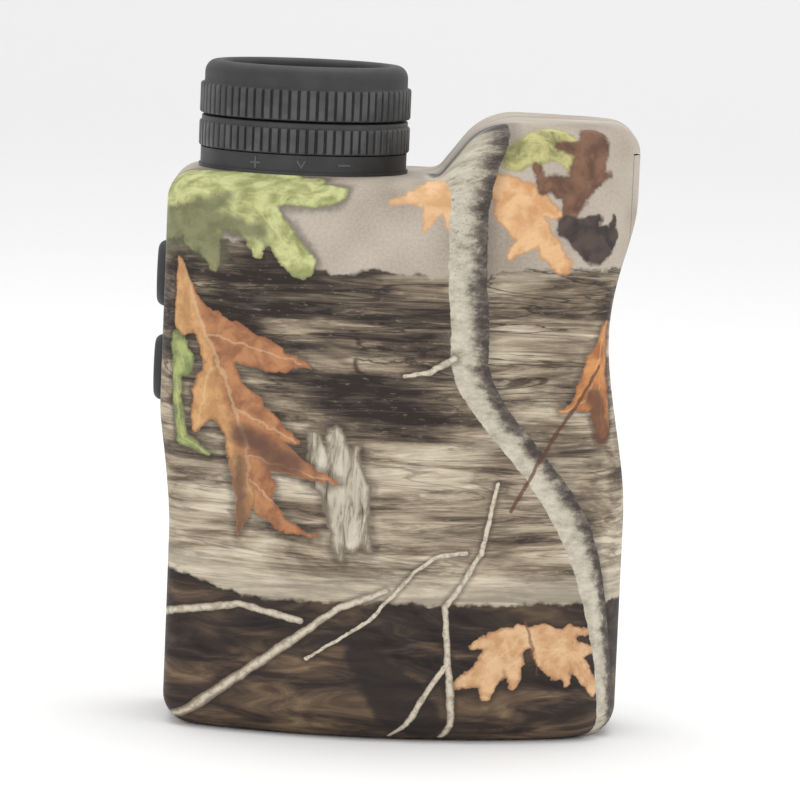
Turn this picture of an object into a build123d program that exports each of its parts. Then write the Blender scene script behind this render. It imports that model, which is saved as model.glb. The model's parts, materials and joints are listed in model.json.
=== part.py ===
"""Monocular laser rangefinder, millimetres.

The body stands on its objective end.  +Z runs along the optical axis towards the
eyepiece, +X towards the finger grip and the battery door, and +Y towards the right
half of the case.  The parting plane of the two case halves is Y = 0.
"""

from math import asin, atan2, cos, pi, sin, sqrt, tan
import os

from build123d import *

os.makedirs("parts", exist_ok=True)

# ---------------------------------------------------------------- driving sizes
GRIP_X = 36.65            # grip side of the case
KEY_X = -35.2             # raised key platform side of the case
HEEL_X = -33.05           # lower part of the key side
WAIST_X = 32.95           # deepest point of the finger grip
WAIST_Z = 63.8
DECK_Z = 85.3             # deck that carries the eyepiece
HUMP_Z = 94.6             # top of the battery hump
HALF_DEPTH = 20.5         # half thickness at the middle of the case
WALL = 2.0                # case wall
CORNER = 4.8              # corners of the case outline
EDGE = 4.4                # rounding between outline and broad faces
BOW_RADIUS = 75.0         # broad faces are slightly bowed
BOW_HALF = 28.5           # half width of the bowed stretch
SHOULDER = 14.0           # radius that carries the bow round to the sides

EYE_X = -14.9             # axis of objective, prisms and eyepiece
RECEIVER_X = 14.2         # axis of the return-pulse receiver
RUN = 0.1                 # radial running clearance

KNURL_R = 16.2            # over the ribs of both eyepiece rings
BAND_R = 15.85            # smooth bands of the eyepiece
BAND_TOP = 88.3           # top of the fixed base band
RING_TOP = 92.4           # top of the ribbed part of the diopter ring
NECK_TOP = 93.2
CUP_Z = 93.5              # lower edge of the eye cup
CUP_RIB_TOP = 98.2
EYE_TOP = 101.65          # top of the eye cup lip
TUBE_R = 13.3             # guide tube of the eyepiece
CELL_R = TUBE_R - 1.2     # bore of that tube
CELL_THREAD_R = 12.9

BUTTON_Z = (68.3, 53.7)   # centres of the power and mode buttons
BUTTON_LONG = 5.1         # half length along Z
BUTTON_WIDE = 4.3         # half width along Y
BUTTON_TOP = -36.65
BUTTON_GAP = 0.25

CELL_X = 21.4             # battery axis
BATTERY_R = 7.8           # CR2 battery
BATTERY_Z = (62.4, 88.8)
DOOR_HALF = 8.35          # half width of the battery door
DOOR_GAP = 0.25
DOOR_TOP = 89.95
PIN_X = WAIST_X - 1.6     # hinge pin of the door
KNUCKLE_R = 1.5
PIN_R = 0.6
KNUCKLE_HALF = 5.0

LANYARD_Z = 10.0
LANYARD_PIN_R = 0.8
LANYARD_PIN_X = 35.0

SEAL_GROOVE = 0.6         # depth of the eyepiece seal groove in the deck

BEZEL_R = (13.2, 12.0)    # bezel rounds about the objective and the receiver
OBJECTIVE_CLEAR = 10.3
RECEIVER_CLEAR = 8.6
BARREL_TOP = 33.0
FRAME_Z = (22.0, 25.0)
CAGE_TOP = 64.0

# screw bosses that join the case halves, as (X, Z)
BOSSES = [(0.65, 12.0), (29.4, 24.0), (28.6, 48.5), (-29.3, 40.0), (-30.7, 77.6), (2.4, 78.5)]
BOSS_R = 2.4
SCREW_R = 0.9
SCREW_HEAD_R = 1.7
INSERT_R = 1.5
SUNK = 3.0                # depth of the counterbores below the broad face

SLOPE_FOOT = 5.9          # where the hump's slope would meet the deck
SLOPE_HEAD = 12.9         # and where it would meet the hump's top
SEAL_IN = 0.7             # seam seal runs in the middle of the wall
SEAL_OUT = 1.3
SEAL_HALF = 0.4           # half thickness of the seam seal
BEZEL_BACK = 3.2          # inner face of the front bezel
SEAL_BACK = 4.0           # inner face of the lens seals
LENS_STOP = 9.0           # shoulder that the objective lens rests on
CAGE_X = (EYE_X - 11.5, EYE_X + 11.5)    # sides of the prism cage
PRISM_HALF = 9.5          # half width of the prisms
LASER_Z = 48.0            # height of the laser diode
DISPLAY_Z = 67.6          # height of the display glass
BUTTON_FOOT = -31.95      # inner end of the button post
SWITCH_TOP = -31.1        # outer face of the key switches
BOARD_FACE = -28.9        # outer face of the key board
MAIN_X = (6.0, 7.2)       # faces of the main board
FLEX_HALF = 0.15          # half thickness of the key flex
HOLDER_X = (12.2, 27.5)   # sides of the battery holder
HOLDER_Z = (59.6, 91.2)   # ends of the battery holder
HOLDER_WALL = 1.2         # wall of the battery holder


def save(piece, name):
    """Label one sub-part and write its STEP file."""
    piece.part.label = name
    export_step(piece.part, f"parts/{name}.step")


def upright(x):
    """Sketch plane through a vertical axis: local x is the radius, local y is Z."""
    return Plane(origin=(x, 0, 0), x_dir=(1, 0, 0), z_dir=(0, -1, 0))


def turn(x, corners):
    """Revolve a closed outline of (radius, height) corners about the vertical axis at x."""
    with BuildSketch(upright(x)) as profile:
        with BuildLine():
            Polyline(*corners, close=True)
        make_face()
    revolve(profile.sketch, axis=Axis((x, 0, 0), (0, 0, 1)))


def dome_middle(radius, vertex, rim):
    """Point halfway out on the spherical face from its vertex to its rim."""
    sag = abs(rim - vertex)
    ball = (radius * radius + sag * sag) / (2 * sag)
    drop = ball - sqrt(ball * ball - radius * radius / 4)
    return (radius / 2, vertex + drop * (1 if rim > vertex else -1))


def lens(x, radius, front, back):
    """Lens about the vertical axis at x; each face is (vertex height, rim height)."""
    with BuildSketch(upright(x)) as profile:
        with BuildLine():
            for vertex, rim in (front, back):
                if vertex == rim:
                    Line((0, vertex), (radius, rim))
                else:
                    ThreePointArc((0, vertex), dome_middle(radius, vertex, rim), (radius, rim))
            Line((radius, front[1]), (radius, back[1]))
            Line((0, front[0]), (0, back[0]))
        make_face()
    revolve(profile.sketch, axis=Axis((x, 0, 0), (0, 0, 1)))


def plate(x_range, y_half, z_range, mode=Mode.ADD):
    """Box between two X values and two Z values, as wide as y_half each way."""
    middle = ((x_range[0] + x_range[1]) / 2, 0, (z_range[0] + z_range[1]) / 2)
    with Locations(middle):
        Box(x_range[1] - x_range[0], 2 * y_half, z_range[1] - z_range[0], mode=mode)


def rod_y(x, z, radius, y_range, mode=Mode.ADD):
    """Cylinder along Y between two Y values."""
    with BuildSketch(Plane.XZ.offset(-y_range[0])) as end:
        with Locations((x, z)):
            Circle(radius)
    extrude(end.sketch, amount=y_range[0] - y_range[1], mode=mode)


# ---------------------------------------------------------------- case outline


def case_outline(inset):
    """Side outline of the case in the XZ plane, moved inward by inset, as a closed face."""
    grip = GRIP_X - inset
    key = KEY_X + inset
    heel = HEEL_X + inset
    deck = DECK_Z - inset
    hump = HUMP_Z - inset
    corner = CORNER - inset
    slope_shift = inset * tan(atan2(HUMP_Z - DECK_Z, SLOPE_HEAD - SLOPE_FOOT) / 2)
    heel_points = [(key, 49.5), (-34.55 + inset, 43.7), (-33.6 + inset, 37.0), (heel, 29.0)]
    grip_points = [
        (grip, 33.5), (35.55 - inset, 44.0), (33.65 - inset, 54.5), (WAIST_X - inset, WAIST_Z),
        (34.15 - inset, 71.7), (35.95 - inset, 78.2), (grip, 84.5),
    ]
    with BuildSketch(Plane.XZ) as outline:
        with BuildLine():
            FilletPolyline(
                grip_points[-1], (grip, hump), (SLOPE_HEAD + slope_shift, hump),
                (SLOPE_FOOT + slope_shift, deck), (key, deck), heel_points[0],
                radius=[corner, 10.0 - inset, 2.5 + inset, corner],
            )
            Spline(*heel_points, tangents=((0, -1), (0, -1)))
            FilletPolyline(heel_points[-1], (heel, inset), (grip, inset), grip_points[0], radius=corner)
            Spline(*grip_points, tangents=((0, 1), (0, 1)))
        make_face()
    return outline.sketch


def bow_section(inset):
    """Bowed cross section of the case, moved inward by inset."""
    lean = BOW_HALF / BOW_RADIUS
    edge_y = HALF_DEPTH - BOW_RADIUS * (1 - sqrt(1 - lean * lean))
    centre_x = BOW_HALF - SHOULDER * lean
    centre_y = edge_y - SHOULDER * sqrt(1 - lean * lean)
    shoulder = SHOULDER - inset
    bow = BOW_RADIUS - inset
    bow_y = HALF_DEPTH - BOW_RADIUS
    meet = (bow * lean, bow_y + bow * sqrt(1 - lean * lean))
    middle_angle = (asin(lean) + pi / 2) / 2
    middle = (centre_x + shoulder * sin(middle_angle), centre_y + shoulder * cos(middle_angle))
    side = (centre_x + shoulder, centre_y)
    with BuildSketch(Plane.XY.offset(-5)) as section:
        with BuildLine():
            ThreePointArc((-meet[0], meet[1]), (0, HALF_DEPTH - inset), meet)
            ThreePointArc(meet, middle, side)
            Line(side, (side[0], 0))
            Line((side[0], 0), (-side[0], 0))
            Line((-side[0], 0), (-side[0], side[1]))
            ThreePointArc((-side[0], side[1]), (-middle[0], middle[1]), (-meet[0], meet[1]))
        make_face()
        mirror(about=Plane.XZ)
    return section.sketch


def case_block(inset):
    """The rounded case as one solid, moved inward by inset on every side."""
    with BuildPart() as block:
        extrude(case_outline(inset), amount=HALF_DEPTH + 1, both=True)
        extrude(bow_section(inset), amount=HUMP_Z + 10, mode=Mode.INTERSECT)
        rim = [
            edge for edge in block.edges()
            if abs((edge % 0.5).Y) < 0.999
            and not (abs((edge % 0.5).Z) > 0.999 and abs(edge.center().X) < 30 - inset)
        ]
        fillet(rim, radius=EDGE - inset)
    return block.part


def bow_y(x):
    """Height of the broad face above the parting plane at x."""
    lean = BOW_HALF / BOW_RADIUS
    if abs(x) < BOW_HALF:
        return HALF_DEPTH - BOW_RADIUS + sqrt(BOW_RADIUS ** 2 - x * x)
    centre_x = BOW_HALF - SHOULDER * lean
    centre_y = HALF_DEPTH - BOW_RADIUS + (BOW_RADIUS - SHOULDER) * sqrt(1 - lean * lean)
    return centre_y + sqrt(SHOULDER ** 2 - (abs(x) - centre_x) ** 2)


def bezel_face(grow):
    """Outline of the front bezel: a belt round the objective and the receiver."""
    with BuildSketch(Plane.XY) as belt:
        with Locations((EYE_X, 0)):
            Circle(BEZEL_R[0] + grow)
        with Locations((RECEIVER_X, 0)):
            Circle(BEZEL_R[1] + grow)
        make_hull()
    return belt.sketch


def oval(x, z, grow, depth, mode=Mode.ADD):
    """Oval along X from the plane at x, as long and wide as a button plus grow."""
    with BuildSketch(Plane.YZ.offset(x)) as face:
        with Locations((0, z)):
            Ellipse(BUTTON_WIDE + grow, BUTTON_LONG + grow)
    extrude(face.sketch, amount=depth, mode=mode)


# ---------------------------------------------------------------- case halves
outer_case = case_block(0)
cavity = case_block(WALL)

with BuildPart() as seam_seal:
    with BuildSketch(Plane.XZ) as seal_loop:
        add(case_outline(SEAL_IN))
        add(case_outline(SEAL_OUT), mode=Mode.SUBTRACT)
    extrude(seal_loop.sketch, amount=SEAL_HALF, both=True)
    plate((EYE_X - 17.2, EYE_X + 17.4), 1, (80, 90), mode=Mode.SUBTRACT)
    plate((-30.0, 28.0), 1, (-1, 3), mode=Mode.SUBTRACT)
    plate((-36, -30), 1, (46.5, 75.5), mode=Mode.SUBTRACT)
    plate((28, 38), 1, (60.5, 91.2), mode=Mode.SUBTRACT)
    plate((30, 38), 1, (3.6, 16.4), mode=Mode.SUBTRACT)
save(seam_seal, "seam_seal")

with BuildPart() as inner_bosses:
    for boss_x, boss_z in BOSSES:
        rod_y(boss_x, boss_z, BOSS_R, (-HALF_DEPTH, HALF_DEPTH))
    plate((30.6, GRIP_X), 6.2, (LANYARD_Z - 6, LANYARD_Z + 6))
    plate((KEY_X, -28.9), 6.0, (60.4, 61.6))
    add(case_block(WALL / 2), mode=Mode.INTERSECT)

with BuildPart() as hinge_lugs:
    rod_y(PIN_X, WAIST_Z, KNUCKLE_R, (KNUCKLE_HALF + DOOR_GAP, 9.9))
    rod_y(PIN_X, WAIST_Z, KNUCKLE_R, (-9.9, -KNUCKLE_HALF - DOOR_GAP))

with BuildPart() as case_pair:
    add(outer_case)
    add(cavity, mode=Mode.SUBTRACT)
    with Locations((EYE_X, 0, DECK_Z - 0.65)):
        Cylinder(radius=16.1, height=1.3)
    add(inner_bosses.part)
    plate((28, 40), DOOR_HALF + DOOR_GAP, (WAIST_Z - 1.85, DOOR_TOP + DOOR_GAP), mode=Mode.SUBTRACT)
    add(hinge_lugs.part)
    rod_y(PIN_X, WAIST_Z, PIN_R, (-9.6, 9.6), mode=Mode.SUBTRACT)
    extrude(bezel_face(0), amount=WALL, mode=Mode.SUBTRACT)
    with Locations((EYE_X, 0, DECK_Z)):
        Cylinder(radius=TUBE_R, height=10, mode=Mode.SUBTRACT)
    with BuildSketch(Plane.XY.offset(DECK_Z - SEAL_GROOVE)) as groove_ring:
        with Locations((EYE_X, 0)):
            Circle(15.1)
            Circle(14.1, mode=Mode.SUBTRACT)
    extrude(groove_ring.sketch, amount=SEAL_GROOVE + 1, mode=Mode.SUBTRACT)
    for button_z in BUTTON_Z:
        oval(KEY_X - 2, button_z, BUTTON_GAP, 5, mode=Mode.SUBTRACT)
    plate((32.4, 40), 3.4, (LANYARD_Z - 4.4, LANYARD_Z + 4.4), mode=Mode.SUBTRACT)
    rod_y(LANYARD_PIN_X, LANYARD_Z, LANYARD_PIN_R, (-5.6, 5.6), mode=Mode.SUBTRACT)
    for boss_x, boss_z in BOSSES:
        seat = bow_y(boss_x) - SUNK
        rod_y(boss_x, boss_z, SCREW_HEAD_R + RUN, (seat, HALF_DEPTH + 1), mode=Mode.SUBTRACT)
        rod_y(boss_x, boss_z, SCREW_R + RUN, (0, seat), mode=Mode.SUBTRACT)
        rod_y(boss_x, boss_z, INSERT_R, (-7, 0), mode=Mode.SUBTRACT)
    add(seam_seal.part, mode=Mode.SUBTRACT)

with BuildPart() as left_shell:
    add(case_pair.part)
    split(bisect_by=Plane.XZ, keep=Keep.TOP)
save(left_shell, "left_shell")

with BuildPart() as right_shell:
    add(case_pair.part)
    split(bisect_by=Plane.XZ, keep=Keep.BOTTOM)
save(right_shell, "right_shell")

with BuildPart() as shell_screws:
    for boss_x, boss_z in BOSSES:
        seat = bow_y(boss_x) - SUNK
        rod_y(boss_x, boss_z, SCREW_R, (-5.5, seat))
        rod_y(boss_x, boss_z, SCREW_HEAD_R, (seat, seat + 1.4))
        rod_y(boss_x, boss_z, 0.8, (seat + 0.6, seat + 1.4), mode=Mode.SUBTRACT)
save(shell_screws, "shell_screws")

with BuildPart() as screw_inserts:
    for boss_x, boss_z in BOSSES:
        rod_y(boss_x, boss_z, INSERT_R, (-6.5, -0.2))
        rod_y(boss_x, boss_z, SCREW_R, (-6.5, -0.2), mode=Mode.SUBTRACT)
save(screw_inserts, "screw_inserts")

with BuildPart() as lanyard_pin:
    rod_y(LANYARD_PIN_X, LANYARD_Z, LANYARD_PIN_R, (-5.6, 5.6))
save(lanyard_pin, "lanyard_pin")

# ---------------------------------------------------------------- front bezel
with BuildPart() as front_bezel:
    extrude(bezel_face(0), amount=WALL)
    with BuildSketch(Plane.XY.offset(WALL)) as bezel_rim:
        add(bezel_face(0.6))
    extrude(bezel_rim.sketch, amount=BEZEL_BACK - WALL)
    for bore_x, bore_r in ((EYE_X, OBJECTIVE_CLEAR + 0.2), (RECEIVER_X, RECEIVER_CLEAR + 0.2)):
        with Locations((bore_x, 0, BEZEL_BACK / 2)):
            Cylinder(radius=bore_r, height=BEZEL_BACK, mode=Mode.SUBTRACT)
        mouth = front_bezel.edges().filter_by(GeomType.CIRCLE)
        mouth = [edge for edge in mouth if abs(edge.center().Z) < 0.01 and edge.radius == bore_r]
        chamfer(mouth, length=0.9)
save(front_bezel, "front_bezel")

# ---------------------------------------------------------------- objective
with BuildPart() as objective_barrel:
    turn(EYE_X, [
        (11.5, SEAL_BACK), (12.6, SEAL_BACK), (12.6, 8.0), (12.2, 8.0), (12.2, 20.5), (14.6, 20.5),
        (14.6, FRAME_Z[0]), (12.2, FRAME_Z[0]), (12.2, BARREL_TOP), (9.6, BARREL_TOP),
        (OBJECTIVE_CLEAR, LENS_STOP), (11.5, LENS_STOP),
    ])
    with Locations(Plane.XY.offset(20.5)):
        with Locations((EYE_X, 0)):
            with PolarLocations(13.4, 3, start_angle=90):
                Cylinder(radius=0.7, height=4, mode=Mode.SUBTRACT)
save(objective_barrel, "objective_barrel")

with BuildPart() as objective_crown:
    lens(EYE_X, 11.4, (4.2, 5.6), (8.2, 6.8))
save(objective_crown, "objective_crown")

with BuildPart() as objective_flint:
    lens(EYE_X, 11.4, (8.2, 6.8), (LENS_STOP, LENS_STOP))
save(objective_flint, "objective_flint")

with BuildPart() as objective_retainer:
    turn(EYE_X, [(OBJECTIVE_CLEAR, 4.0), (11.5, 4.0), (11.5, 5.3), (OBJECTIVE_CLEAR, 5.3)])
save(objective_retainer, "objective_retainer")

with BuildPart() as objective_seal:
    turn(EYE_X, [(10.8, BEZEL_BACK), (12.4, BEZEL_BACK), (12.4, SEAL_BACK), (10.8, SEAL_BACK)])
save(objective_seal, "objective_seal")

# ---------------------------------------------------------------- receiver
with BuildPart() as receiver_tube:
    turn(RECEIVER_X, [
        (9.7, SEAL_BACK), (10.6, SEAL_BACK), (10.6, 14.0), (6.0, 34.0), (4.4, 34.0), (9.0, 14.0),
        (RECEIVER_CLEAR, LENS_STOP), (9.7, LENS_STOP),
    ])
save(receiver_tube, "receiver_tube")

with BuildPart() as receiver_lens:
    lens(RECEIVER_X, 9.6, (4.5, 5.4), (LENS_STOP, LENS_STOP))
save(receiver_lens, "receiver_lens")

with BuildPart() as receiver_retainer:
    turn(RECEIVER_X, [(RECEIVER_CLEAR, 4.0), (9.7, 4.0), (9.7, 5.2), (RECEIVER_CLEAR, 5.2)])
save(receiver_retainer, "receiver_retainer")

with BuildPart() as receiver_seal:
    turn(RECEIVER_X, [(9.0, BEZEL_BACK), (10.5, BEZEL_BACK), (10.5, SEAL_BACK), (9.0, SEAL_BACK)])
save(receiver_seal, "receiver_seal")

with BuildPart() as receiver_filter:
    turn(RECEIVER_X, [(0, 33.0), (4.3, 33.0), (4.3, 34.0), (0, 34.0)])
save(receiver_filter, "receiver_filter")

with BuildPart() as receiver_sensor:
    turn(RECEIVER_X, [(0, 34.0), (4.1, 34.0), (4.1, 36.3), (4.6, 36.3), (4.6, 37.0), (0, 37.0)])
    with Locations((RECEIVER_X, 0, 37.25)):
        with PolarLocations(2.5, 3):
            Cylinder(radius=0.25, height=0.5)
save(receiver_sensor, "receiver_sensor")

with BuildPart() as receiver_board:
    plate((RECEIVER_X - 6.5, RECEIVER_X + 6.5), 8, (37.5, 38.7))
    with Locations((RECEIVER_X - 3, 0, 39.2), (RECEIVER_X + 3, 4, 39.2)):
        Box(3.5, 5.0, 1.0)
save(receiver_board, "receiver_board")

# ---------------------------------------------------------------- chassis and prisms
with BuildPart() as optical_frame:
    plate((-34, 26.4), 18, FRAME_Z)
    add(case_block(WALL + 0.05), mode=Mode.INTERSECT)
    with Locations((EYE_X, 0, 23.5)):
        Cylinder(radius=12.2, height=3, mode=Mode.SUBTRACT)
        with PolarLocations(13.4, 3, start_angle=90):
            Cylinder(radius=0.7, height=3, mode=Mode.SUBTRACT)
    with Locations((RECEIVER_X, 0, 23.5)):
        Cylinder(radius=8.8, height=3, mode=Mode.SUBTRACT)
save(optical_frame, "optical_frame")

with BuildPart() as frame_screws:
    with Locations((EYE_X, 0, 19.9)):
        with PolarLocations(13.4, 3, start_angle=90):
            Cylinder(radius=1.15, height=1.2)
    with Locations((EYE_X, 0, 22.6)):
        with PolarLocations(13.4, 3, start_angle=90):
            Cylinder(radius=0.7, height=4.2)
save(frame_screws, "frame_screws")

with BuildPart() as prism_cage:
    plate(CAGE_X, 12, (BARREL_TOP, CAGE_TOP))
    plate((CAGE_X[0] + 1.2, CAGE_X[1] - 1.2), 10.8, (BARREL_TOP + 1.2, CAGE_TOP - 1.2), mode=Mode.SUBTRACT)
    plate((EYE_X - 8, EYE_X + 8), 13, (38, 59), mode=Mode.SUBTRACT)
    with Locations((EYE_X, 0, BARREL_TOP)):
        Cylinder(radius=9.0, height=6, mode=Mode.SUBTRACT)
    with Locations((EYE_X, 0, CAGE_TOP)):
        Cylinder(radius=7.5, height=6, mode=Mode.SUBTRACT)
    with BuildSketch(Plane.YZ.offset(CAGE_X[1] - 3)) as laser_port:
        with Locations((0, LASER_Z)):
            Circle(2.8)
    extrude(laser_port.sketch, amount=4, mode=Mode.SUBTRACT)
save(prism_cage, "prism_cage")


with BuildPart() as half_prism:
    with BuildSketch(upright(EYE_X)):
        with BuildLine():
            Polyline(
                (-PRISM_HALF, 35.0), (PRISM_HALF, 35.0), (PRISM_HALF, 40.0), (-PRISM_HALF, 49.0),
                close=True,
            )
        make_face()
    extrude(amount=PRISM_HALF, both=True)
save(half_prism, "half_prism")

with BuildPart() as roof_prism:
    with BuildSketch(upright(EYE_X)):
        with BuildLine():
            Polyline(
                (PRISM_HALF, 40.6), (PRISM_HALF, 62.0), (-PRISM_HALF, 62.0), (-PRISM_HALF, 49.6),
                close=True,
            )
        make_face()
    extrude(amount=PRISM_HALF, both=True)
    roof_edges = roof_prism.edges().filter_by(Axis.Z).group_by(Axis.X)[0]
    chamfer(roof_edges, length=4.0)
save(roof_prism, "roof_prism")

with BuildPart() as prism_clips:
    for side in (-1, 1):
        with Locations((EYE_X, side * 12.3, 48.5)):
            Box(4.0, 0.6, 25.0)
        for clip_z in (36.5, 60.5):
            with Locations((EYE_X, side * 12.9, clip_z)):
                Box(2.2, 0.6, 1.4)
save(prism_clips, "prism_clips")

with BuildPart() as laser_mount:
    plate((CAGE_X[1], 6.0), 5, (LASER_Z - 5, LASER_Z + 5))
    with BuildSketch(Plane.YZ.offset(CAGE_X[1])) as laser_bore:
        with Locations((0, LASER_Z)):
            Circle(2.8)
    extrude(laser_bore.sketch, amount=10, mode=Mode.SUBTRACT)
save(laser_mount, "laser_mount")

with BuildPart() as laser_diode:
    with BuildSketch(Plane.YZ.offset(CAGE_X[1])) as can:
        with Locations((0, LASER_Z)):
            Circle(2.8)
    extrude(can.sketch, amount=5)
    with BuildSketch(Plane.YZ.offset(CAGE_X[1] + 5)) as pins:
        with Locations((0, LASER_Z)):
            with PolarLocations(1.4, 3):
                Circle(0.25)
    extrude(pins.sketch, amount=4.4)
save(laser_diode, "laser_diode")

# ---------------------------------------------------------------- display
with BuildPart() as display_holder:
    turn(EYE_X, [
        (7.5, CAGE_TOP), (10.5, CAGE_TOP), (10.5, DISPLAY_Z + 1.4), (9.2, DISPLAY_Z + 1.4),
        (9.2, DISPLAY_Z), (7.5, DISPLAY_Z),
    ])
save(display_holder, "display_holder")

with BuildPart() as display_glass:
    turn(EYE_X, [(0, DISPLAY_Z), (9.2, DISPLAY_Z), (9.2, DISPLAY_Z + 1), (0, DISPLAY_Z + 1)])
save(display_glass, "display_glass")

# ---------------------------------------------------------------- eyepiece, fixed pieces
with BuildPart() as eyepiece_base:
    turn(EYE_X, [
        (CELL_R, 72.0), (TUBE_R, 72.0), (TUBE_R, DECK_Z), (16.1, DECK_Z), (16.1, DECK_Z + 0.5),
        (BAND_R, DECK_Z + 0.5), (BAND_R, BAND_TOP), (14.75, BAND_TOP), (14.75, 86.5),
        (TUBE_R, 86.5), (TUBE_R, 88.2), (CELL_R, 88.2),
    ])
save(eyepiece_base, "eyepiece_base")

with BuildPart() as eyepiece_lock_ring:
    turn(EYE_X, [(TUBE_R, 81.6), (14.4, 81.6), (14.4, DECK_Z - WALL), (TUBE_R, DECK_Z - WALL)])
save(eyepiece_lock_ring, "eyepiece_lock_ring")

with BuildPart() as eyepiece_seal:
    turn(EYE_X, [(14.1, DECK_Z - 0.6), (15.1, DECK_Z - 0.6), (15.1, DECK_Z), (14.1, DECK_Z)])
save(eyepiece_seal, "eyepiece_seal")

# ---------------------------------------------------------------- diopter ring and eye cup
with BuildPart() as diopter_ring:
    turn(EYE_X, [
        (TUBE_R + RUN, 86.7), (14.6, 86.7), (14.6, BAND_TOP + 0.15), (KNURL_R, BAND_TOP + 0.15),
        (KNURL_R, RING_TOP), (BAND_R, RING_TOP), (BAND_R, NECK_TOP), (14.2, NECK_TOP), (14.2, 97.0),
        (CELL_THREAD_R + RUN, 97.0), (CELL_THREAD_R + RUN, 88.5), (TUBE_R + RUN, 88.5),
    ])
save(diopter_ring, "diopter_ring")

with BuildPart() as cup_stop_ring:
    turn(EYE_X, [(CELL_THREAD_R + RUN, 97.0), (14.9, 97.0), (14.9, 97.6), (CELL_THREAD_R + RUN, 97.6)])
save(cup_stop_ring, "cup_stop_ring")

with BuildPart() as cup_cam_ring:
    turn(EYE_X, [(14.2 + RUN, NECK_TOP + 0.5), (15.0, NECK_TOP + 0.5), (15.0, 96.8), (14.2 + RUN, 96.8)])
save(cup_cam_ring, "cup_cam_ring")

with BuildPart() as eye_cup:
    turn(EYE_X, [
        (15.0 + RUN, CUP_Z), (KNURL_R, CUP_Z), (KNURL_R, CUP_RIB_TOP), (15.6, CUP_RIB_TOP),
        (15.6, EYE_TOP), (12.5, EYE_TOP), (12.5, 98.0), (15.0 + RUN, 98.0),
    ])
    crown = eye_cup.edges().group_by(Axis.Z)[-1].sort_by(SortBy.RADIUS)
    fillet(crown[0], radius=0.8)
    crown = eye_cup.edges().filter_by(GeomType.CIRCLE).group_by(Axis.Z)[-1].sort_by(SortBy.RADIUS)
    fillet(crown[-1], radius=2.2)
save(eye_cup, "eye_cup")

# ---------------------------------------------------------------- eyepiece optics
with BuildPart() as eyepiece_cell:
    turn(EYE_X, [
        (9.0, 74.0), (CELL_R - RUN, 74.0), (CELL_R - RUN, 89.3), (CELL_THREAD_R, 89.3),
        (CELL_THREAD_R, 93.2), (11.0, 93.2), (11.0, 88.75), (10.2, 88.75), (10.2, 75.75),
        (9.0, 75.75),
    ])
save(eyepiece_cell, "eyepiece_cell")

with BuildPart() as field_lens:
    lens(EYE_X, 10.1, (75.0, 76.0), (79.0, 78.4))
save(field_lens, "field_lens")

with BuildPart() as lens_spacer:
    turn(EYE_X, [(9.2, 78.55), (10.1, 78.55), (10.1, 88.6), (9.2, 88.6)])
save(lens_spacer, "lens_spacer")

with BuildPart() as eye_lens:
    lens(EYE_X, 10.9, (88.0, 88.9), (92.0, 91.0))
save(eye_lens, "eye_lens")

with BuildPart() as eye_lens_retainer:
    turn(EYE_X, [(10.0, 91.2), (11.0, 91.2), (11.0, 92.6), (10.0, 92.6)])
save(eye_lens_retainer, "eye_lens_retainer")

# ---------------------------------------------------------------- buttons and key board


def button(z):
    """Rubber push button: domed oval head, retaining flange and post."""
    oval(BUTTON_TOP, z, 0, -33.0 - BUTTON_TOP)
    head_rim = [edge for edge in edges() if abs(edge.center().X - BUTTON_TOP) < 0.01]
    fillet(head_rim, radius=1.3)
    oval(-33.0, z, 0.9, 0.7)
    with BuildSketch(Plane.YZ.offset(-32.3)) as post:
        with Locations((0, z)):
            Circle(1.4)
    extrude(post.sketch, amount=BUTTON_FOOT + 32.3)


with BuildPart() as power_button:
    button(BUTTON_Z[0])
save(power_button, "power_button")

with BuildPart() as mode_button:
    button(BUTTON_Z[1])
save(mode_button, "mode_button")

with BuildPart() as key_board:
    plate((BOARD_FACE, BOARD_FACE + 1), 6, (45.0, 71.6))
save(key_board, "key_board")

with BuildPart() as key_switches:
    for button_z in BUTTON_Z:
        plate((SWITCH_TOP + 0.5, BOARD_FACE), 3, (button_z - 3, button_z + 3))
        with BuildSketch(Plane.YZ.offset(SWITCH_TOP)) as plunger:
            with Locations((0, button_z)):
                Circle(1.5)
        extrude(plunger.sketch, amount=0.5)
save(key_switches, "key_switches")

# ---------------------------------------------------------------- electronics
with BuildPart() as main_board:
    plate(MAIN_X, 13, (40.0, 82.0))
save(main_board, "main_board")

with BuildPart() as board_chips:
    with Locations((MAIN_X[1] + 0.7, 0, 48), (MAIN_X[1] + 0.7, -7.5, 60), (MAIN_X[1] + 0.7, 7.5, 60)):
        Box(1.4, 7.0, 7.0)
    with Locations((MAIN_X[1] + 0.6, 0, 76.5)):
        Box(1.2, 9.0, 5.0)
    with Locations((MAIN_X[0] - 1.0, -8.5, 64), (MAIN_X[0] - 1.0, 8.5, 56)):
        Box(2.0, 4.5, 6.0)
save(board_chips, "board_chips")

with BuildPart() as key_flex:
    flex_start = BOARD_FACE + 1 + FLEX_HALF
    flex_end = MAIN_X[0] - FLEX_HALF
    with BuildSketch(Plane.XY.offset(69.2)) as flex_path:
        with BuildLine() as flex_line:
            FilletPolyline(
                (flex_start, 1.0), (flex_start, 9.0), (-21.5, 13.6), (-3.0, 14.6),
                (flex_end, 10.5), (flex_end, 4.0),
                radius=3.0,
            )
        trace(flex_line.line, line_width=2 * FLEX_HALF)
    extrude(flex_path.sketch, amount=2.2)
save(key_flex, "key_flex")

# ---------------------------------------------------------------- battery
with BuildPart() as battery_holder:
    plate(HOLDER_X, 9.6, HOLDER_Z)
    add(case_block(WALL + 0.05), mode=Mode.INTERSECT)
    plate(
        (HOLDER_X[0] + HOLDER_WALL, 30), 8.4,
        (HOLDER_Z[0] + HOLDER_WALL, HOLDER_Z[1] - HOLDER_WALL), mode=Mode.SUBTRACT,
    )
save(battery_holder, "battery_holder")

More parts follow.
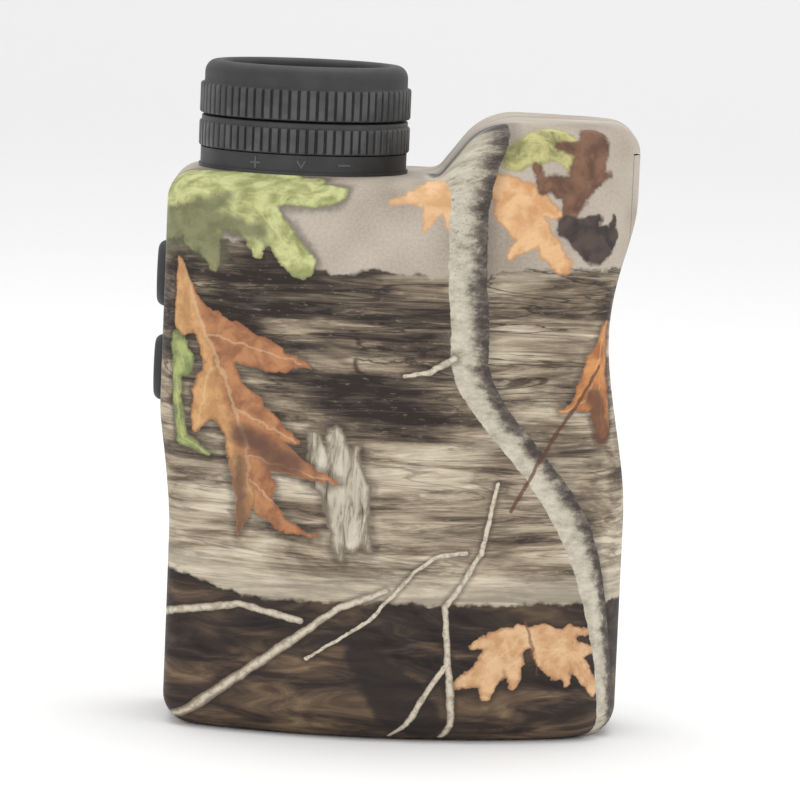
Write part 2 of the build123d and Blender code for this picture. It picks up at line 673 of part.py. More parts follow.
with BuildPart() as battery_cell:
    turn(CELL_X, [
        (0, BATTERY_Z[0]), (BATTERY_R, BATTERY_Z[0]), (BATTERY_R, BATTERY_Z[1]),
        (3.0, BATTERY_Z[1]), (3.0, BATTERY_Z[1] + 0.8), (0, BATTERY_Z[1] + 0.8),
    ])
save(battery_cell, "battery_cell")

with BuildPart() as battery_spring:
    with BuildSketch(Plane.XZ):
        with BuildLine() as leaf:
            FilletPolyline((16.0, 60.95), (26.5, 60.95), (21.4, 62.25), (17.5, 61.9), radius=0.5)
        trace(leaf.line, line_width=0.3)
    extrude(amount=2.5, both=True)
save(battery_spring, "battery_spring")

with BuildPart() as battery_contact:
    plate((17.0, 26.0), 3, (BATTERY_Z[1] + 0.8, HOLDER_Z[1] - HOLDER_WALL))
save(battery_contact, "battery_contact")

with BuildPart() as battery_leads:
    for lead_y in (-3.5, 3.5):
        with BuildLine() as lead_path:
            FilletPolyline(
                (HOLDER_X[0], lead_y, 66.0), (9.7, lead_y, 66.0), (9.7, lead_y, 70.0),
                (MAIN_X[1], lead_y, 70.0),
                radius=1.9,
            )
        with BuildSketch(Plane((HOLDER_X[0], lead_y, 66.0), z_dir=(-1, 0, 0))) as lead_end:
            Circle(0.5)
        sweep(lead_end.sketch, path=lead_path.line)
save(battery_leads, "battery_leads")

# ---------------------------------------------------------------- battery door
with BuildPart() as battery_door:
    add(outer_case)
    add(cavity, mode=Mode.SUBTRACT)
    plate((28, 40), DOOR_HALF, (WAIST_Z, DOOR_TOP), mode=Mode.INTERSECT)
    for side in (-1, 1):
        with Locations((PIN_X, side * (KNUCKLE_HALF + 3), WAIST_Z)):
            Box(8, 6, 2 * (KNUCKLE_R + DOOR_GAP), mode=Mode.SUBTRACT)
    rod_y(PIN_X, WAIST_Z, KNUCKLE_R, (-KNUCKLE_HALF, KNUCKLE_HALF))
    rod_y(PIN_X, WAIST_Z, PIN_R + RUN, (-KNUCKLE_HALF, KNUCKLE_HALF), mode=Mode.SUBTRACT)
    rod_y(GRIP_X + 3.2, 88.6, 4.0, (-4, 4), mode=Mode.SUBTRACT)
save(battery_door, "battery_door")

with BuildPart() as door_seal:
    add(cavity)
    add(case_block(WALL + 0.6), mode=Mode.SUBTRACT)
    plate((28, 40), 7.9, (66.4, 88.8), mode=Mode.INTERSECT)
    plate((28, 40), 7.1, (67.2, 88.0), mode=Mode.SUBTRACT)
save(door_seal, "door_seal")

with BuildPart() as door_pin:
    rod_y(PIN_X, WAIST_Z, PIN_R, (-9.6, 9.6))
save(door_pin, "door_pin")
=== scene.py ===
"""Looks of the laser rangefinder: camouflage print, ribbed eyepiece, glass, studio and camera.

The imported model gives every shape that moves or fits.  This script adds the materials, the
detailed eyepiece rings and the raised diopter marks.  Lengths are in millimetres, except in
the studio and camera sections, which use metres.
"""

import json
import math

import bmesh
import bpy
from mathutils import Matrix, Vector


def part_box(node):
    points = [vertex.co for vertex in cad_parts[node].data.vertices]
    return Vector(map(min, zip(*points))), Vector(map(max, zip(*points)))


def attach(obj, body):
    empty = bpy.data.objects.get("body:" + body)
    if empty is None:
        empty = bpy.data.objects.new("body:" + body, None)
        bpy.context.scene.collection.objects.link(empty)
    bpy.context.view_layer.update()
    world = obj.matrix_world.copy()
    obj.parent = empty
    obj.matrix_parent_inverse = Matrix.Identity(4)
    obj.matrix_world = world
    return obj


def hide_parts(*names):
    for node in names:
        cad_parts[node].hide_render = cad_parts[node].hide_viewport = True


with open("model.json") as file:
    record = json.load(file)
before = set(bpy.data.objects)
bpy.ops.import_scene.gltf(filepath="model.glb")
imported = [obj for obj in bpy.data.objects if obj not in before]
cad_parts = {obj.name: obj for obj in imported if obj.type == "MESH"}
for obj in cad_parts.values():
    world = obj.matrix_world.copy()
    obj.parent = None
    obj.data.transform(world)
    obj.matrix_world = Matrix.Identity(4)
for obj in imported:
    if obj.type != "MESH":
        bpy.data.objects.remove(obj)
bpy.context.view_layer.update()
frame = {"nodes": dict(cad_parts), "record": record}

MM = 0.001


def mm_box(node):
    """Lowest and highest corners of a CAD node at rest, in millimetres."""
    low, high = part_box(node)
    return Vector(low) / MM, Vector(high) / MM


ring_low = mm_box("diopter_ring")[0]
cup_low, cup_high = mm_box("eye_cup")
case_low, case_high = mm_box("left_shell")
EYE_X = (cup_low.x + cup_high.x) / 2      # eyepiece axis
KNURL_R = (cup_high.x - cup_low.x) / 2    # over the ribs
BAND_R = KNURL_R - 0.35                   # smooth bands beside the ribs
CASE_TOP = case_high.z
HALF_DEPTH = -case_low.y


# ------------------------------------------------------------------ node helpers
def paint(red, green, blue):
    """Linear colour from everyday 0-255 values."""
    def linear(value):
        value /= 255
        return value / 12.92 if value <= 0.04045 else ((value + 0.055) / 1.055) ** 2.4
    return (linear(red), linear(green), linear(blue), 1.0)


class Graph:
    """Short calls for one node tree: sockets or plain values in, a socket out."""

    def __init__(self, tree):
        self.tree = tree

    def put(self, socket, value):
        if isinstance(value, bpy.types.NodeSocket):
            self.tree.links.new(value, socket)
        elif value is not None:
            socket.default_value = value

    def math(self, operation, a, b=None, c=None):
        node = self.tree.nodes.new("ShaderNodeMath")
        node.operation = operation
        for socket, value in zip(node.inputs, (a, b, c)):
            self.put(socket, value)
        return node.outputs[0]

    def vector(self, operation, a, b=None, scale=None):
        node = self.tree.nodes.new("ShaderNodeVectorMath")
        node.operation = operation
        self.put(node.inputs[0], a)
        self.put(node.inputs[1], b)
        self.put(node.inputs[3], scale)
        return node.outputs[1 if operation in ("LENGTH", "DOT_PRODUCT", "DISTANCE") else 0]

    def parts(self, vector):
        node = self.tree.nodes.new("ShaderNodeSeparateXYZ")
        self.put(node.inputs[0], vector)
        return node.outputs

    def join(self, x, y, z=0.0):
        node = self.tree.nodes.new("ShaderNodeCombineXYZ")
        for socket, value in zip(node.inputs, (x, y, z)):
            self.put(socket, value)
        return node.outputs[0]

    def mapped(self, point, scale=(1.0, 1.0, 1.0), shift=(0.0, 0.0, 0.0), turn=0.0):
        """Point scaled, then turned about its third axis by degrees, then shifted."""
        node = self.tree.nodes.new("ShaderNodeMapping")
        self.put(node.inputs["Vector"], point)
        node.inputs["Scale"].default_value = scale
        node.inputs["Rotation"].default_value = (0.0, 0.0, math.radians(turn))
        node.inputs["Location"].default_value = shift
        return node.outputs[0]

    def noise(self, point, scale=1.0, detail=3.0, rough=0.55, twist=0.0):
        node = self.tree.nodes.new("ShaderNodeTexNoise")
        self.put(node.inputs["Vector"], point)
        node.inputs["Scale"].default_value = scale
        node.inputs["Detail"].default_value = detail
        node.inputs["Roughness"].default_value = rough
        node.inputs["Distortion"].default_value = twist
        return node.outputs["Fac"]

    def step(self, value, start, end):
        """0 at start, 1 at end, smooth between; start may be above end."""
        node = self.tree.nodes.new("ShaderNodeMapRange")
        node.interpolation_type = "SMOOTHSTEP"
        node.clamp = False
        self.put(node.inputs["Value"], value)
        low, high = min(start, end), max(start, end)
        self.put(node.inputs["From Min"], low)
        self.put(node.inputs["From Max"], high)
        self.put(node.inputs["To Min"], 0.0 if start < end else 1.0)
        self.put(node.inputs["To Max"], 1.0 if start < end else 0.0)
        return node.outputs["Result"]

    def ramp(self, value, stops):
        node = self.tree.nodes.new("ShaderNodeValToRGB")
        elements = node.color_ramp.elements
        while len(elements) < len(stops):
            elements.new(0.5)
        for element, (position, colour) in zip(elements, stops):
            element.position = position
            element.color = colour
        self.put(node.inputs[0], value)
        return node.outputs["Color"]

    def mix(self, factor, a, b):
        node = self.tree.nodes.new("ShaderNodeMix")
        node.data_type = "RGBA"
        self.put(node.inputs[0], factor)
        self.put(node.inputs[6], a)
        self.put(node.inputs[7], b)
        return node.outputs[2]

    def curve(self, value, points, lowest, highest):
        """Value along a curve of given (input, output) points, both between the two limits."""
        span = highest - lowest
        node = self.tree.nodes.new("ShaderNodeFloatCurve")
        line = node.mapping.curves[0]
        while len(line.points) < len(points):
            line.points.new(0.5, 0.5)
        for spot, (given, wanted) in zip(line.points, sorted(points)):
            spot.location = ((given - lowest) / span, (wanted - lowest) / span)
        node.mapping.update()
        self.put(node.inputs["Value"], self.math("MULTIPLY_ADD", value, 1 / span, -lowest / span))
        return self.math("MULTIPLY_ADD", node.outputs[0], span, lowest)

    def bump(self, height, strength, distance_mm, below=None):
        node = self.tree.nodes.new("ShaderNodeBump")
        self.put(node.inputs["Height"], height)
        node.inputs["Strength"].default_value = strength
        node.inputs["Distance"].default_value = distance_mm * MM
        self.put(node.inputs["Normal"], below)
        return node.outputs["Normal"]


class Surface(Graph):
    """Node tree of one new material, with its shader and its place on the object in millimetres."""

    def __init__(self, name):
        self.material = bpy.data.materials.new(name)
        self.material.use_nodes = True
        super().__init__(self.material.node_tree)
        self.shader = self.tree.nodes["Principled BSDF"]
        self.given = self.tree.nodes.new("ShaderNodeTexCoord").outputs
        self.here = self.mapped(self.given["Object"], scale=(1 / MM, 1 / MM, 1 / MM))

    def finished(self, colour, roughness, normal=None, **settings):
        """The material, once its shader has these inputs and settings."""
        self.put(self.shader.inputs["Base Color"], colour)
        self.put(self.shader.inputs["Roughness"], roughness)
        self.put(self.shader.inputs["Normal"], normal)
        for name, value in settings.items():
            self.shader.inputs[name.replace("_", " ")].default_value = value
        return self.material


# ------------------------------------------------------------------ tapered strokes
def stroke_group():
    """Distance from a point to a tapered stroke, and to the stroke's middle line."""
    tree = bpy.data.node_groups.new("stroke", "ShaderNodeTree")
    for name, kind in (
        ("Point", "Vector"), ("Start", "Vector"), ("Along", "Vector"),
        ("Per", "Float"), ("Radius", "Float"), ("Taper", "Float"),
    ):
        tree.interface.new_socket(name, in_out="INPUT", socket_type="NodeSocket" + kind)
    for name in ("Distance", "Core"):
        tree.interface.new_socket(name, in_out="OUTPUT", socket_type="NodeSocketFloat")
    given = tree.nodes.new("NodeGroupInput").outputs
    result = tree.nodes.new("NodeGroupOutput").inputs

    g = Graph(tree)
    away = g.vector("SUBTRACT", given["Point"], given["Start"])
    share = g.math("MULTIPLY", g.vector("DOT_PRODUCT", away, given["Along"]), given["Per"])
    share = g.math("MINIMUM", g.math("MAXIMUM", share, 0.0), 1.0)
    off = g.vector("SUBTRACT", away, g.vector("SCALE", given["Along"], scale=share))
    core = g.vector("LENGTH", off)
    radius = g.math("MULTIPLY_ADD", share, given["Taper"], given["Radius"])
    g.put(result["Distance"], g.math("SUBTRACT", core, radius))
    g.put(result["Core"], core)
    return tree


STROKE = stroke_group()


def strokes(g, point, shapes, melt=0.6):
    """Smooth union of tapered strokes (x, z, radius, x, z, radius): distance and vein distance."""
    distance = core = None
    for x0, z0, r0, x1, z1, r1 in shapes:
        node = g.tree.nodes.new("ShaderNodeGroup")
        node.node_tree = STROKE
        g.put(node.inputs["Point"], point)
        node.inputs["Start"].default_value = (x0, z0, 0)
        node.inputs["Along"].default_value = (x1 - x0, z1 - z0, 0)
        node.inputs["Per"].default_value = 1 / ((x1 - x0) ** 2 + (z1 - z0) ** 2)
        node.inputs["Radius"].default_value = r0
        node.inputs["Taper"].default_value = r1 - r0
        if distance is None:
            distance, core = node.outputs["Distance"], node.outputs["Core"]
        else:
            distance = g.math("SMOOTH_MIN", distance, node.outputs["Distance"], melt)
            core = g.math("MINIMUM", core, node.outputs["Core"])
    return distance, core


def path(points, start_r, end_r):
    """Strokes along a list of (x, z) points, tapering evenly from one radius to the other."""
    last = len(points) - 1
    radii = [start_r + (end_r - start_r) * index / last for index in range(last + 1)]
    return [
        (*points[index], radii[index], *points[index + 1], radii[index + 1])
        for index in range(last)
    ]


# ------------------------------------------------------------------ shapes of the print
# Stroke ends and widths were read off the picture, and the readings were turned into
# millimetres on the near face with the solved camera.  Some were then moved.
GREEN_OAK = [
    (-32.6, 83.3, 2.5, -22.3, 81.0, 4.2), (-23.1, 82.8, 2.5, -10.6, 83.4, 2.3),
    (-20.4, 79.3, 2.4, -14.4, 72.2, 2.3), (-22.0, 78.2, 2.5, -21.0, 73.4, 0.9),
    (-29.7, 78.1, 3.4, -27.7, 71.2, 0.8), (-32.9, 82.5, 2.2, -31.2, 75.8, 2.4),
    (-33.0, 79.3, 3.2, -20.4, 79.2, 2.6), (-36.0, 87.2, 2.6, -15.0, 86.0, 2.0),
    (-44.0, 82.0, 5.5, -33.0, 82.0, 4.2), (-42.0, 76.5, 3.0, -34.0, 78.0, 3.0),
]
GREEN_SHADE = [
    (-42.0, 76.0, 4.0, -34.5, 76.6, 3.4), (-34.5, 76.6, 3.4, -26.0, 81.8, 0.9),
    (-30.5, 76.4, 3.2, -27.3, 72.6, 1.7), (-28.0, 78.0, 1.6, -20.8, 76.6, 1.2),
]
ORANGE_OAK = [
    (-33.9, 71.6, 0.6, -32.2, 62.9, 2.7), (-32.4, 67.4, 1.2, -26.7, 58.6, 2.6),
    (-29.2, 62.6, 2.3, -23.0, 59.4, 2.7), (-23.0, 59.4, 2.7, -17.8, 57.6, 2.1),
    (-17.8, 57.4, 1.8, -14.5, 57.2, 0.8), (-14.5, 57.6, 0.7, -12.3, 56.6, 0.1),
    (-26.7, 58.6, 2.3, -25.4, 51.0, 3.4), (-27.2, 51.7, 3.4, -29.2, 47.8, 1.4),
    (-29.2, 47.8, 1.2, -29.8, 46.1, 0.3), (-25.0, 52.6, 2.2, -19.2, 47.5, 2.6),
    (-19.2, 47.5, 2.3, -13.7, 45.3, 0.3), (-23.3, 48.1, 3.1, -19.1, 44.0, 2.8),
    (-19.1, 44.0, 2.8, -12.4, 40.9, 1.2), (-12.4, 40.9, 1.1, -6.9, 39.3, 0.1),
    (-22.5, 45.0, 2.5, -21.5, 35.9, 1.4), (-21.5, 35.9, 1.4, -22.3, 30.4, 0.2),
    (-19.6, 42.1, 1.5, -18.4, 35.3, 1.7), (-18.4, 35.3, 1.5, -15.3, 32.2, 1.1),
    (-15.3, 32.2, 0.9, -10.1, 31.0, 0.1),
]
ORANGE_RIBS = [
    (-33.8, 73.1, 0.25, -30.8, 65.5, 0.25), (-30.8, 65.5, 0.25, -27.8, 59.3, 0.25),
    (-27.8, 59.3, 0.25, -25.1, 53.9, 0.22), (-25.1, 53.9, 0.22, -21.7, 44.9, 0.2),
    (-21.7, 44.9, 0.2, -21.0, 37.6, 0.12), (-28.3, 60.8, 0.15, -13.9, 57.3, 0.05),
    (-23.4, 49.6, 0.15, -14.1, 45.4, 0.05), (-21.3, 42.8, 0.15, -7.8, 39.4, 0.05),
    (-20.7, 39.0, 0.12, -11.3, 31.3, 0.05), (-27.7, 55.5, 0.12, -29.3, 47.0, 0.05),
]
ORANGE_TIPS = ORANGE_OAK[9:]    # the leaf's lower lobes, which are scorched
ORANGE_DARK = [(-22.6, 46.0, 1.5, -14.5, 41.6, 2.0), (-22.6, 42.0, 1.0, -22.2, 31.0, 1.6)]
GREEN_LEFT = [
    (-33.9, 59.0, 1.9, -32.5, 56.0, 2.2), (-33.9, 54.9, 1.2, -33.5, 49.9, 0.9),
    (-33.5, 49.9, 0.9, -32.1, 44.6, 1.1), (-32.1, 44.6, 1.1, -27.7, 42.7, 0.6),
]
PEACH_LEFT = [
    (8.8, 88.2, 1.8, 8.0, 85.4, 3.0), (8.0, 85.4, 3.0, 3.2, 83.6, 1.9), (3.2, 83.6, 1.4, -1.1, 82.4, 0.5),
    (5.6, 82.6, 2.0, 4.0, 78.3, 0.5), (7.7, 82.7, 1.9, 8.2, 79.0, 0.9),
]
PEACH_RIGHT = [
    (15.2, 84.9, 2.3, 19.8, 83.2, 2.6), (19.8, 83.0, 2.3, 25.3, 80.6, 0.6),
    (17.2, 81.8, 2.9, 20.0, 77.9, 2.2), (20.0, 77.5, 1.8, 17.3, 75.0, 0.9),
    (20.7, 79.5, 2.0, 25.2, 73.4, 1.6),
]
BROWN_OAK = [
    (30.4, 93.8, 2.4, 28.6, 88.2, 2.6), (28.6, 88.2, 2.7, 26.3, 81.9, 1.4),
    (28.2, 86.9, 2.0, 33.0, 88.0, 0.4), (26.6, 85.2, 2.0, 22.3, 85.8, 1.3),
    (21.9, 85.0, 1.2, 20.7, 88.3, 0.6), (28.6, 91.3, 1.7, 24.1, 91.6, 0.8),
]
BLACK_LEAF = [
    (26.0, 79.3, 1.9, 30.6, 76.6, 3.2), (30.6, 76.6, 2.9, 33.8, 77.8, 1.7),
    (33.5, 77.8, 1.3, 34.0, 81.4, 0.5), (29.0, 79.5, 1.4, 31.0, 80.8, 0.6),
]
YELLOW_LEAF = [(17.4, 89.6, 2.2, 24.1, 93.0, 3.2), (23.9, 91.7, 2.2, 26.3, 88.4, 1.2)]
ORANGE_RIGHT = [
    (33.6, 65.0, 0.4, 31.8, 58.3, 1.9), (31.8, 58.3, 2.2, 30.2, 53.1, 2.0),
    (29.9, 53.0, 1.5, 26.2, 51.2, 0.3), (32.3, 55.0, 2.2, 33.7, 48.5, 1.7),
]
BROWN_RIGHT = [(31.6, 53.2, 1.6, 33.7, 47.6, 2.0)]
PEACH_BOTTOM = [
    (21.4, 16.4, 2.2, 16.1, 11.6, 2.1), (14.2, 15.2, 0.7, 18.9, 16.3, 1.8),
    (10.7, 8.9, 0.4, 16.1, 10.8, 2.0), (16.0, 7.4, 0.8, 17.1, 11.1, 2.0),
    (20.6, 9.1, 0.7, 20.4, 12.3, 1.8), (24.7, 16.3, 2.5, 28.6, 14.7, 2.3),
    (29.0, 17.1, 1.3, 33.0, 17.3, 0.2), (30.9, 14.2, 1.4, 34.0, 14.5, 0.4),
    (30.7, 12.2, 1.6, 34.4, 8.3, 1.3), (25.9, 13.3, 2.3, 27.3, 10.8, 1.1),
    (28.9, 9.3, 0.6, 28.1, 12.6, 1.5),
]
PEACH_RIBS = [
    (22.1, 19.1, 0.3, 23.3, 14.4, 0.25), (23.3, 14.4, 0.25, 24.3, 10.7, 0.1),
    (22.6, 17.2, 0.15, 16.2, 12.0, 0.05), (23.1, 15.0, 0.15, 17.2, 9.0, 0.05),
    (23.2, 14.8, 0.15, 29.0, 14.6, 0.05), (29.0, 14.6, 0.05, 33.4, 9.0, 0.05),
]
KNOT = [
    (-11.4, 46.6, 0.9, -9.6, 40.5, 2.6), (-8.2, 47.2, 1.2, -6.3, 38.1, 3.8),
    (-4.9, 44.8, 0.6, -4.9, 37.0, 2.4), (-6.3, 38.1, 3.9, -5.2, 31.8, 2.9),
    (-7.4, 33.0, 1.2, -6.6, 27.6, 0.5), (-4.0, 33.0, 1.4, -2.2, 29.4, 0.7),
]
BLACK_PATCH = [(-2.7, 12.9, 2.5, 3.4, 6.2, 4.3), (3.4, 6.2, 4.3, 7.8, 2.1, 2.8)]
DARK_POOLS = [                  # darker stretches of the log
    (-24, 66, 4, 5, 64, 5), (-16, 54, 3, 6, 49, 2.5), (-30, 46, 2, -14, 48, 3),
    (24, 67, 2, 34, 67, 1), (14, 53, 2, 27, 54, 1.5),
]
BRANCH = [                      # (height, place across) of the branch's middle line
    (-10, 39.5), (4.5, 38.6), (9.1, 37.8), (16.8, 35.6), (27.4, 31.8), (36.4, 27.1), (45.3, 20.2),
    (52.0, 14.6), (56.5, 12.2), (63.2, 11.6), (75.3, 10.8), (84.4, 11.2), (94.1, 14.6), (100, 18.0),
]
TWIGS = (
    path([(2.1, 56.0), (6.0, 56.9), (9.5, 58.9)], 0.25, 0.55)
    + path([(-34.0, -0.8), (-28.5, 3.4), (-16.3, 12.8), (-6.5, 20.3), (0.5, 23.2)], 0.95, 0.4)
    + path([(-36.0, 17.2), (-32.1, 18.0), (-21.6, 19.9), (-12.4, 18.0)], 0.65, 0.5)
    + path([(-11.2, 12.2), (-1.9, 18.5), (4.9, 26.4), (8.3, 28.8), (12.5, 29.4)], 0.2, 0.3)
    + path([(2.9, -1.0), (6.4, 6.4), (10.0, 11.9)], 0.55, 0.35)
    + path([
        (11.6, -1.0), (10.9, 8.1), (10.2, 14.2), (9.6, 21.0), (11.5, 23.6), (14.8, 29.4), (16.9, 40.0),
    ], 0.6, 0.3)
)
DARK_TWIG = path([(19.0, 35.9), (25.1, 47.1), (29.2, 53.3), (32.2, 58.0)], 0.3, 0.25)
BRANCH_HALF = 2.9         # half width of the branch
RIB_LEAN = 0.36           # how the orange leaf's midrib leans: X lost per Z gained
RIB_FOOT = ORANGE_RIBS[0][0] + RIB_LEAN * ORANGE_RIBS[0][1]
RAGGED = 2.1              # how far leaf edges wander
STICK_SHARE = 0.4         # share of that wander on the branch and twigs
LOG_TOP = 73.6            # where the log meets the sky
LITTER_TOP = 21.25        # where the litter meets the log


# ------------------------------------------------------------------ the camouflage print
def sky(g, point):
    """Blurred light ground behind the log, at the top."""
    blur = g.noise(point, scale=0.05, detail=2.0)
    colour = g.ramp(blur, [
        (0.3, paint(142, 130, 116)), (0.45, paint(168, 156, 142)), (0.6, paint(186, 175, 161)),
        (0.75, paint(197, 187, 174)),
    ])
    weave = g.noise(point, scale=2.2, detail=1.0)
    thread = g.ramp(weave, [(0.3, paint(120, 110, 100)), (0.7, paint(220, 212, 200))])
    return g.mix(0.12, colour, thread)


def log(g, point, flat, u, v):
    """Weathered trunk with long horizontal grain, dark above and tan below."""
    broad = g.noise(g.mapped(point, scale=(0.035, 0.11, 1.0)), detail=4.0, rough=0.6, twist=0.8)
    fibre = g.noise(g.mapped(point, scale=(0.045, 0.55, 1.0)), detail=6.0, rough=0.74, twist=0.7)
    split = g.mapped(point, scale=(0.03, 0.24, 1.0), shift=(4.0, 0.0, 0.0))
    split = g.noise(split, detail=5.0, twist=1.1)
    dark_pool = g.step(strokes(g, flat, DARK_POOLS, melt=2.0)[0], 3.5, -2.0)
    height = g.step(v, 44.0, 58.0)
    right = g.math("MULTIPLY", g.step(u, 8.0, 18.0), g.step(v, 47.0, 55.0))
    tone = g.math("MULTIPLY_ADD", fibre, 1.5, -0.76)
    tone = g.math("MULTIPLY_ADD", broad, 1.3, tone)
    tone = g.math("MULTIPLY_ADD", height, -0.16, tone)
    tone = g.math("MULTIPLY_ADD", right, 0.16, tone)
    tone = g.math("MULTIPLY_ADD", dark_pool, -0.17, tone)
    wood = g.ramp(tone, [
        (0.2, paint(44, 36, 33)), (0.38, paint(84, 73, 63)), (0.54, paint(128, 114, 96)),
        (0.7, paint(172, 158, 136)), (0.92, paint(212, 200, 178)),
    ])
    crack = g.step(g.math("ABSOLUTE", g.math("SUBTRACT", split, 0.5)), 0.028, 0.004)
    depth = g.math("MULTIPLY_ADD", height, 0.35, 0.4)
    wood = g.mix(g.math("MULTIPLY", crack, depth), wood, paint(42, 34, 31))
    fleck = g.step(g.noise(g.mapped(point, scale=(0.7, 1.9, 1.0)), detail=2.0), 0.62, 0.72)
    return g.mix(g.math("MULTIPLY", fleck, 0.18), wood, paint(190, 180, 160))


def litter(g, point, v):
    """Dark leaf litter below the log."""
    grain = g.mapped(point, scale=(0.07, 0.26, 1.0), shift=(9.0, 0.0, 0.0), turn=-10)
    grain = g.noise(grain, detail=4.0, rough=0.62, twist=1.0)
    tone = g.math("MULTIPLY_ADD", g.step(v, 4.0, 20.0), -0.1, grain)
    return g.ramp(tone, [
        (0.28, paint(32, 26, 25)), (0.42, paint(54, 44, 39)), (0.54, paint(84, 68, 55)),
        (0.64, paint(112, 93, 72)), (0.78, paint(146, 126, 98)),
    ])


def tinted(g, colour, mask, amount, tint):
    """Colour moved towards a tint where the mask is 1."""
    return g.mix(g.math("MULTIPLY", mask, amount), colour, tint)


class LeafLayer:
    """Noises that all the leaves of the print share, and the calls that lay leaves over a colour."""

    def __init__(self, g, point, flat):
        self.g = g
        self.flat = flat
        self.mottle = g.step(g.noise(point, scale=0.32, detail=5.0, rough=0.6, twist=0.4), 0.36, 0.66)
        self.freckle = g.step(g.noise(point, scale=1.7, detail=2.0), 0.58, 0.75)

    def lay(self, under, shapes, light, dark, rim, ribs=None, near=True):
        """One leaf with mottling, freckles and darker rim; a near one has veins and a shadow too."""
        g = self.g
        distance, core = strokes(g, self.flat, shapes)
        edge = 0.12 if near else 0.35
        body = g.mix(self.mottle, light, dark)
        body = tinted(g, body, self.freckle, 0.3, rim)
        if near:
            under = tinted(g, under, g.step(distance, 1.5, 0.0), 0.55, paint(40, 33, 31))
            vein = strokes(g, self.flat, ribs, melt=0.1)[0] if ribs else g.math("SUBTRACT", core, 0.08)
            body = tinted(g, body, g.step(vein, 0.16, -0.04), 0.3, paint(224, 202, 160))
        body = tinted(g, body, g.step(distance, -0.55, -0.05), 0.6, rim)
        return g.mix(g.step(distance, edge, -edge), under, body)


def bark(g, point, v, width):
    """Grey bark of the thin branch, lit from the left, with lichen above."""
    grain = g.noise(g.mapped(point, scale=(0.3, 0.5, 1.0), turn=20), detail=6.0, rough=0.74)
    lit = g.math("MULTIPLY_ADD", g.step(width, -0.4, 0.9), -0.36, g.math("MULTIPLY", grain, 1.1))
    lit = g.math("SUBTRACT", lit, 0.16)
    colour = g.ramp(lit, [
        (0.0, paint(70, 63, 60)), (0.14, paint(112, 103, 94)), (0.3, paint(176, 167, 150)),
        (0.5, paint(206, 198, 181)), (0.66, paint(190, 181, 163)),
    ])
    lichen = g.step(g.noise(point, scale=1.4, detail=3.0, rough=0.7), 0.55, 0.66)
    lichen = g.math("MULTIPLY", lichen, g.step(v, 58.0, 84.0))
    return tinted(g, colour, lichen, 0.55, paint(96, 90, 80))


def backdrop(g, point, flat, u, v):
    """Sky, log and litter, with the broken-off knot and the black patch."""
    log_edge = g.math("MULTIPLY_ADD", g.noise(point, scale=0.12, detail=4.0), 5.0, v)
    log_edge = g.math("MULTIPLY_ADD", g.step(u, -10.0, -19.0), -4.0, log_edge)
    log_edge = g.math("MULTIPLY_ADD", g.step(u, 4.0, 14.0), -1.6, log_edge)
    shaded = g.step(log_edge, LOG_TOP - 3.1, LOG_TOP - 0.1)
    trunk = tinted(g, log(g, point, flat, u, v), shaded, 0.45, paint(60, 52, 47))
    colour = g.mix(g.step(log_edge, LOG_TOP + 0.3, LOG_TOP - 0.3), sky(g, point), trunk)
    foot = g.math("MULTIPLY_ADD", u, -0.01, v)
    foot = g.math("MULTIPLY_ADD", g.step(u, -18.0, -34.0), -3.2, foot)
    band_start = g.step(foot, LITTER_TOP - 0.75, LITTER_TOP + 0.75)
    pale_band = g.math("MULTIPLY", band_start, g.step(foot, LITTER_TOP + 5.75, LITTER_TOP + 1.75))
    colour = tinted(g, colour, pale_band, 0.4, paint(206, 196, 176))
    colour = g.mix(g.step(foot, LITTER_TOP + 0.35, LITTER_TOP - 0.35), colour, litter(g, point, v))

    knot = strokes(g, flat, KNOT)[0]
    grain = g.noise(g.mapped(point, scale=(0.8, 0.13, 1.0), turn=8), detail=6.0, rough=0.65, twist=0.6)
    pale = g.ramp(grain, [
        (0.34, paint(84, 74, 64)), (0.42, paint(140, 129, 112)), (0.5, paint(184, 174, 156)),
        (0.68, paint(212, 203, 186)),
    ])
    pale = g.mix(g.step(knot, -1.0, 0.0), pale, paint(118, 106, 92))
    colour = tinted(g, colour, g.step(knot, 1.6, 0.1), 0.5, paint(56, 47, 43))
    colour = g.mix(g.step(knot, 0.15, -0.15), colour, pale)
    patch = g.step(strokes(g, flat, BLACK_PATCH)[0], 0.8, -0.6)
    return tinted(g, colour, patch, 0.85, paint(37, 32, 33))


def far_leaves(leaves, colour):
    """Soft leaves high on the right, behind the branch."""
    colour = leaves.lay(
        colour, PEACH_RIGHT, paint(226, 184, 139), paint(203, 152, 104), paint(168, 122, 86), near=False)
    colour = leaves.lay(
        colour, PEACH_LEFT, paint(224, 184, 142), paint(206, 160, 114), paint(190, 150, 112), near=False)
    colour = leaves.lay(
        colour, YELLOW_LEAF, paint(196, 190, 130), paint(126, 124, 82), paint(150, 146, 100), near=False)
    colour = leaves.lay(
        colour, BROWN_OAK, paint(132, 98, 78), paint(98, 72, 60), paint(104, 80, 68), near=False)
    return leaves.lay(
        colour, BLACK_LEAF, paint(88, 74, 68), paint(58, 52, 52), paint(70, 58, 54), near=False)


